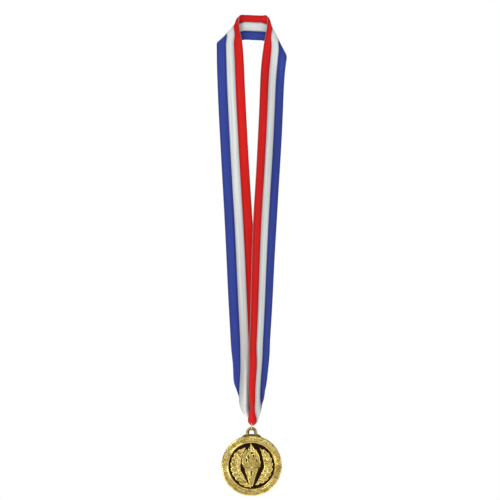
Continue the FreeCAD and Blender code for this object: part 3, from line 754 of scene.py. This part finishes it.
def torch(x, z):
    """Tapering fluted handle, a banded bowl with a lip, and the flame over it."""
    handle = wedge(x - 0.3, z, (-17.6, -14.0, -9.0, -3.8), (1.3, 2.4, 3.8, 5.7), 0.98, 0.8)
    flute = 0.62 * np.exp(-((x - 0.5) / 0.55) ** 2) * smooth_step(z, -10.0, -7.5)
    cheek = np.interp(z, (-12.0, -4.0), (1.2, 2.6))
    sides = 0.34 * np.exp(-((np.abs(x - 0.4) - cheek) / 0.38) ** 2) * smooth_step(z, -12.0, -9.5)
    handle = np.maximum(handle - np.where(handle > 0, flute + sides, 0.0), 0.0)
    bowl = wedge(x - 0.5, z, (-4.9, -3.6, -1.2), (4.4, 5.2, 6.6), 0.62, 0.7)
    lip = wedge(x - 0.6, z, (-1.6, -0.4, 0.9), (7.0, 7.6, 7.2), 1.08, 0.6)
    middle = np.interp(z, (0.0, 2.8, 7.0, 11.0, 14.0, 18.3), (0.5, 0.8, 0.3, 0.6, 0.7, 0.0))
    fire = wedge(x - middle, z, (0.4, 2.8, 7.0, 11.0, 14.0, 18.3), (7.4, 7.5, 6.4, 4.5, 2.3, 0.3), 0.60, 0.7)
    figure = np.maximum.reduce([handle, bowl, lip, fire])
    tongues = (
        (((0.6, 0.5), (2.6, 9.0), (-0.2, 18.6)), 3.2, 0.45, 1.02),
        (((-3.0, 0.8), (-8.6, 6.0), (-3.4, 13.4)), 2.9, 0.40, 0.94),
        (((3.8, 0.8), (7.4, 5.4), (3.8, 13.6)), 2.8, 0.40, 0.96),
        (((-1.2, 1.0), (-4.4, 8.0), (-1.6, 15.2)), 2.1, 0.35, 0.98),
        (((2.0, 1.0), (4.9, 7.6), (1.8, 15.8)), 2.1, 0.35, 1.00),
        (((-5.2, 0.8), (-7.6, 2.6), (-6.6, 7.4)), 1.7, 0.30, 0.86),
        (((5.4, 0.8), (7.5, 2.4), (6.3, 6.6)), 1.8, 0.30, 0.86),
    )
    for points, root, tip, height in tongues:
        figure = np.maximum(figure, tongue(x, z, points, root, tip, height))
    hollows = ((0.8, 10.6, 0.75, 1.1), (-2.0, 7.2, 0.60, 1.8), (2.2, 8.2, 0.6, 1.2), (-3.9, 4.6, 0.4, 1.5),
               (5.0, 4.2, 0.4, 1.6))
    for hx, hz, wide, tall in hollows:
        figure -= 0.90 * np.exp(-((x - hx) / wide) ** 2 - ((z - hz) / tall) ** 2)
    return np.maximum(figure, 0.0)


def torch_gap_half(z, side):
    """Half width of the bare strip of field that parts the torch from the laurel."""
    heights = (-18.0, -16.0, -14.0, -11.0, -7.0, -3.5, 0.0, 4.0, 7.0, 11.0, 14.0, 19.0)
    left = (0.5, 1.6, 3.6, 5.2, 7.1, 9.1, 9.4, 8.9, 8.2, 6.8, 5.4, 3.4)
    right = (0.7, 2.6, 4.2, 5.6, 7.6, 9.6, 10.3, 9.6, 9.0, 8.0, 6.9, 5.4)
    return np.interp(z, heights, left if side < 0 else right)


def relief_height(x, z):
    """Height of the raised figures above the field's floor."""
    return np.maximum.reduce([laurel(x, z, -1), laurel(x, z, 1), torch(x + TORCH_LEFT, z)])


def rim_height(radius, angle):
    """The rim: a steep inner wall, a rounded inner lip and a roughly cast, dished face."""
    wall = smooth_step(radius, FIELD_RADIUS - 0.1, FIELD_RADIUS + 0.75)
    lip = 0.16 * np.exp(-((radius - FIELD_RADIUS - 1.1) / 0.45) ** 2)
    groove = 0.24 * np.exp(-((radius - FIELD_RADIUS - 2.1) / 0.38) ** 2)
    bead = 0.12 * np.exp(-((radius - DISC_RADIUS + 1.2) / 0.7) ** 2)
    across, along = radius * np.cos(angle), radius * np.sin(angle)
    dents = np.sin(1.9 * across + 1.3 * np.sin(1.1 * along))
    dents = dents * np.sin(1.7 * along + 1.2 * np.sin(1.3 * across))
    dents += 0.6 * np.sin(3.1 * across - 2.2 * along) * np.sin(2.7 * along + 1.1 * across)
    face = smooth_step(radius, FIELD_RADIUS + 1.8, FIELD_RADIUS + 2.6)
    return RIM_HEIGHT * wall + (lip + bead - groove - 0.14) * wall + 0.055 * dents * face


def blurred(field, cells):
    """A separable Gaussian blur of a square array."""
    reach = np.arange(-3 * cells, 3 * cells + 1)
    weight = np.exp(-0.5 * (reach / cells) ** 2)
    weight /= weight.sum()
    for _ in range(2):
        field = np.apply_along_axis(lambda line: np.convolve(line, weight, mode="same"), 0, field).T
    return field


def cavity_at(x, z):
    """How sunk each point is against its surroundings, which sets how much painted shade darkens it."""
    step = 0.16
    reach = 26.0
    line = np.arange(-reach, reach, step)
    gx, gz = np.meshgrid(line, line, indexing="ij")
    radius = np.hypot(gx, gz)
    field = np.where(radius < FIELD_RADIUS, relief_height(gx, gz), 0.0)
    field = np.maximum(field, rim_height(radius, np.arctan2(gz, gx)))
    sunk = np.maximum(blurred(field, 3) - field, 0.7 * (blurred(field, 9) - field))
    i = np.clip(((x + reach) / step).astype(int), 0, len(line) - 1)
    j = np.clip(((z + reach) / step).astype(int), 0, len(line) - 1)
    return np.clip(sunk[i, j] * 4.5, 0.0, 1.0)


def medal_mesh():
    """The casting's disc as rings of points: front relief, edge, and plain back."""
    segments = 560
    angle = np.linspace(0.0, 2.0 * math.pi, segments, endpoint=False)[None, :]
    face_end = DISC_RADIUS - 0.8
    rings, turns = np.broadcast_arrays(np.linspace(0.0, face_end, 150)[1:, None], angle)
    x, z = rings * np.cos(turns), rings * np.sin(turns)
    figure = np.where(rings < FIELD_RADIUS, relief_height(x, z), 0.0)
    height = np.maximum(figure, rim_height(rings, turns))
    front = HANG_DEPTH - (disc_high[1] - disc_low[1]) * 0.5
    floor = front + RIM_HEIGHT
    grid = [np.stack([x, floor - height, z], axis=-1)]
    back = HANG_DEPTH + (disc_high[1] - disc_low[1]) * 0.5
    corner = 0.8
    edge = []
    for turn in np.linspace(0.0, 0.5 * math.pi, 8)[1:]:
        edge.append((face_end + corner * math.sin(turn), front + 0.12 + corner - corner * math.cos(turn)))
    for turn in np.linspace(0.5 * math.pi, 0.0, 8):
        edge.append((face_end + corner * math.sin(turn), back - corner + corner * math.cos(turn)))
    plain = back - 0.3
    edge += [(23.2, back), (22.6, back - 0.02), (22.3, back - 0.12), (22.0, plain + 0.02), (21.6, plain)]
    edge += [(radius, plain) for radius in (18.0, 14.0, 10.0, 6.0, 3.0, 1.0)]
    for radius, depth in edge:
        level = np.full(segments, depth)
        ring = np.stack([radius * np.cos(angle[0]), level, radius * np.sin(angle[0])], axis=-1)
        grid.append(ring[None])
    grid = np.concatenate(grid)
    count = grid.shape[0]
    corners = grid.reshape(-1, 3)
    faces = [tuple(reversed(face)) for face in grid_faces(count, segments, closed=True)]
    centre_height = relief_height(np.zeros(1), np.zeros(1))[0]
    first, last = len(corners), len(corners) + 1
    corners = np.vstack([corners, [[0.0, floor - centre_height, 0.0], [0.0, plain, 0.0]]])
    end = (count - 1) * segments
    for j in range(segments):
        following = (j + 1) % segments
        faces.append((first, following, j))
        faces.append((last, end + j, end + following))
    # Painted shade in the hollows of the relief and rim, one value per corner.
    hollow_shade = np.zeros(len(corners))
    hollow_shade[:x.size] = cavity_at(x.ravel(), z.ravel())
    corners[:, 2] += DISC_MIDDLE[2]
    return corners, faces, hollow_shade


def cast_medal(gold):
    corners, faces, hollow_shade = medal_mesh()
    medal = add_object("cast_medal", corners, faces)
    add_value(medal, "hollow_shade", hollow_shade)
    medal.data.materials.append(gold)
    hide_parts("medal_disc", "torch_handle", "torch_bowl", "torch_flame",
                "laurel_left", "laurel_right")
    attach(medal, "medal")


def dark_fill():
    """The enamel fill: a thin pool on the field that creeps a little up every wall."""
    segments, rings = 180, 40
    angle = np.linspace(0.0, 2.0 * math.pi, segments, endpoint=False)[None, :]
    radius = np.linspace(0.0, FIELD_RADIUS + 0.12, rings)[1:, None]
    radius, angle = np.broadcast_arrays(radius, angle)
    floor = HANG_DEPTH - (disc_high[1] - disc_low[1]) * 0.5 + RIM_HEIGHT
    level = FILL_LEVEL + 0.16 * smooth_step(radius, FIELD_RADIUS - 0.9, FIELD_RADIUS + 0.1)
    top = np.stack([radius * np.cos(angle), floor - level, radius * np.sin(angle)], axis=-1)
    top = top.reshape(-1, 3)
    under = top.copy()
    under[:, 1] = floor - 0.02
    count = len(top)
    corners = np.vstack([top, under, [[0.0, floor - FILL_LEVEL, 0.0], [0.0, floor - 0.02, 0.0]]])
    corners[:, 2] += DISC_MIDDLE[2]
    faces = [tuple(reversed(face)) for face in grid_faces(rings - 1, segments, closed=True)]
    faces += grid_faces(rings - 1, segments, count, closed=True)
    end = (rings - 2) * segments
    for j in range(segments):
        following = (j + 1) % segments
        faces.append((2 * count, following, j))
        faces.append((2 * count + 1, count + j, count + following))
        faces.append((end + j, end + following, count + end + following, count + end + j))
    fill = add_object("field_fill", corners, faces)
    fill.data.materials.append(fill_material())
    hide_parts("field_enamel")
    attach(fill, "medal")


def tube_along(path, radii, sides, flatten=1.0):
    """Corners and faces of a closed tube that lies in the XZ plane."""
    path = np.asarray(path, float)
    heading = np.gradient(path, axis=0)
    heading /= np.linalg.norm(heading, axis=1, keepdims=True)
    outward = np.stack([-heading[:, 1], heading[:, 0]], axis=-1)
    corners = []
    for centre, side, radius in zip(path, outward, radii):
        for k in range(sides):
            angle = 2.0 * math.pi * k / sides
            offset = radius * math.cos(angle)
            corners.append((centre[0] + side[0] * offset, radius * flatten * math.sin(angle),
                            centre[1] + side[1] * offset))
    faces = grid_faces(len(path), sides, closed=True)
    faces.append(tuple(reversed(range(sides))))
    last = (len(path) - 1) * sides
    faces.append(tuple(range(last, last + sides)))
    return np.array(corners), faces


def hanging_eye(gold):
    """The cast loop, its feet spreading into the rim, on a low saddle."""
    eye_low, eye_high = box_mm("hanger_eye")
    bar = 0.62 * (eye_high[1] - eye_low[1])
    radius = 0.5 * (eye_high[0] - eye_low[0]) - 0.75 * bar
    top = eye_high[2] + 0.15
    middle = top - bar - radius
    path = []
    feet = ((-8.6, -5.6), (-6.6, -4.4), (-4.9, -3.0), (-3.7, -1.3))
    for turn in np.linspace(math.pi * 1.06, -math.pi * 0.06, 33):
        path.append((radius * math.cos(turn), middle + radius * math.sin(turn)))
    left = [(x, middle + z) for x, z in feet]
    right = [(-x, z) for x, z in reversed(left)]
    knots = left + path + right
    spacing = np.arange(len(knots))
    dense = np.linspace(0, len(knots) - 1, 141)
    line = natural_spline(spacing, knots, dense)
    spread = np.abs(line[:, 0]) - radius
    radii = bar * (1.0 + 0.45 * smooth_step(spread, 0.2, 2.6))
    radii = radii * (1.0 - 0.5 * smooth_step(spread, 2.8, 5.2))
    corners, faces = tube_along(line, radii, 24, 0.82)
    saddle = np.stack([np.linspace(-4.6, 4.6, 25), np.full(25, disc_high[2] - 0.15)], axis=-1)
    swell = 1.25 * np.sqrt(np.clip(1.0 - (saddle[:, 0] / 4.9) ** 2, 0.05, 1.0))
    more, joined = tube_along(saddle, swell, 20)
    faces += [tuple(i + len(corners) for i in face) for face in joined]
    corners = np.vstack([corners, more])
    corners[:, 1] += HANG_DEPTH
    eye = add_object("cast_eye", corners, faces)
    # Painted shade on the eye: it is darkened all over, more towards its foot and saddle and on the inside of
    # the loop.
    low = smooth_step(-(corners[:, 2] - middle), 0.5, 3.4) * 0.35
    inner = smooth_step(radius - np.hypot(corners[:, 0], corners[:, 2] - middle), 0.1, bar) * 0.6
    add_value(eye, "hollow_shade", np.clip(0.38 + low + inner, 0.0, 1.0))
    eye.data.materials.append(gold)
    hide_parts("hanger_eye")
    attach(eye, "medal")


def finish_ring():
    """The jump ring keeps its CAD shape and gets drawn, plated wire."""
    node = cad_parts["jump_ring"]
    wire = gold_material("plated_wire", None, 0.15)
    for held in node.material_slots:
        held.material = wire


# ---------------------------------------------------------------- stage, light and camera

FLOOR_DROP = 450.0       # floor under the medal, millimetres
FLOOR_RADIUS = 3000.0
FRAMED_HEIGHT = 0.420    # height of the view at the medal, metres
VIEW_MIDDLE = (-0.0014, -0.1869)
LIT_POINT = (0.0, 0.0, -0.2)


def stage():
    """A wide pale floor well under the hanging medal."""
    material, _, shader = new_material("pale_floor")
    shader.inputs["Base Color"].default_value = (0.82, 0.82, 0.82, 1.0)
    shader.inputs["Roughness"].default_value = 0.9
    shader.inputs["Specular IOR Level"].default_value = 0.0
    shader.inputs["Emission Color"].default_value = (1.0, 1.0, 1.0, 1.0)
    shader.inputs["Emission Strength"].default_value = 0.60
    low, radius = disc_low[2] - FLOOR_DROP, FLOOR_RADIUS
    turns = np.linspace(0.0, 2.0 * math.pi, 96, endpoint=False)
    corners = [(radius * math.cos(turn), radius * math.sin(turn), low) for turn in turns]
    floor = add_object("floor", corners, [range(len(turns))], smooth=False)
    floor.data.materials.append(material)


def sky():
    """White to the eye; as light, brighter overhead than below and behind the viewer."""
    world = bpy.data.worlds.new("white_sky")
    bpy.context.scene.world = world
    world.use_nodes = True
    tree = world.node_tree
    background = tree.nodes["Background"]
    direction = tree.nodes.new("ShaderNodeTexCoord").outputs["Generated"]
    parts = tree.nodes.new("ShaderNodeSeparateXYZ")
    tree.links.new(direction, parts.inputs[0])
    rise = step_node(tree, parts.outputs[2], -0.35, 0.75)
    light = mix_colours(tree, rise, (0.26, 0.26, 0.27, 1.0), (0.62, 0.62, 0.62, 1.0))
    seen = tree.nodes.new("ShaderNodeLightPath").outputs["Is Camera Ray"]
    put(tree, background.inputs["Color"], mix_colours(tree, seen, light, (1.0, 1.0, 1.0, 1.0)))
    background.inputs["Strength"].default_value = 1.0


def area_light(name, place, target, size, watts):
    data = bpy.data.lights.new(name, "AREA")
    data.shape = "DISK"
    data.size = size
    data.energy = watts
    lamp = bpy.data.objects.new(name, data)
    bpy.context.collection.objects.link(lamp)
    lamp.location = place
    heading = np.array(target, float) - np.array(place, float)
    heading /= np.linalg.norm(heading)
    lamp.rotation_euler = Vector(heading).to_track_quat("-Z", "Y").to_euler()
    lamp.visible_camera = False
    return lamp


def lights():
    area_light("key", (-0.9, -1.2, 0.5), LIT_POINT, 0.45, 8.6)
    area_light("low_left", (-1.1, -1.0, -0.9), LIT_POINT, 0.6, 12.0)
    area_light("fill", (1.3, -0.9, -0.1), LIT_POINT, 0.7, 4.2)
    area_light("rim", (0.2, 1.2, 0.7), LIT_POINT, 0.7, 5.0)


def camera():
    """Level with the middle of the medal and ribbon, straight in front."""
    data = bpy.data.cameras.new("camera")
    data.sensor_width = 36.0
    data.lens = 135.0
    made = bpy.data.objects.new("camera", data)
    bpy.context.collection.objects.link(made)
    distance = FRAMED_HEIGHT * data.lens / data.sensor_width
    made.location = (VIEW_MIDDLE[0], HANG_DEPTH * MM - distance, VIEW_MIDDLE[1])
    made.rotation_euler = (math.radians(90.0), 0.0, 0.0)
    data.clip_start = 0.01
    data.clip_end = 60.0
    bpy.context.scene.camera = made


def view_settings():
    settings = bpy.context.scene.view_settings
    settings.view_transform = "Standard"
    settings.look = "None"
    settings.exposure = 0.0
    settings.gamma = 1.0


# ---------------------------------------------------------------- everything

camera()
view_settings()
stage()
sky()
lights()
RIBBON = ribbon_material()
band_and_tops()
leg_piece(-1, "ribbon_leg_left", "ribbon_left_upper", "ribbon_left_lower")
leg_piece(1, "ribbon_leg_right", "ribbon_right_upper", "ribbon_right_lower")
gather_piece(-1, "ribbon_bunch_left", "ribbon_gather_left")
gather_piece(1, "ribbon_bunch_right", "ribbon_gather_right", "ribbon_bight")
bar_tack(tail_pieces())
GOLD = gold_material("gold_with_painted_hollow_shade", "hollow_shade", 0.16)
cast_medal(GOLD)
dark_fill()
hanging_eye(GOLD)
finish_ring()
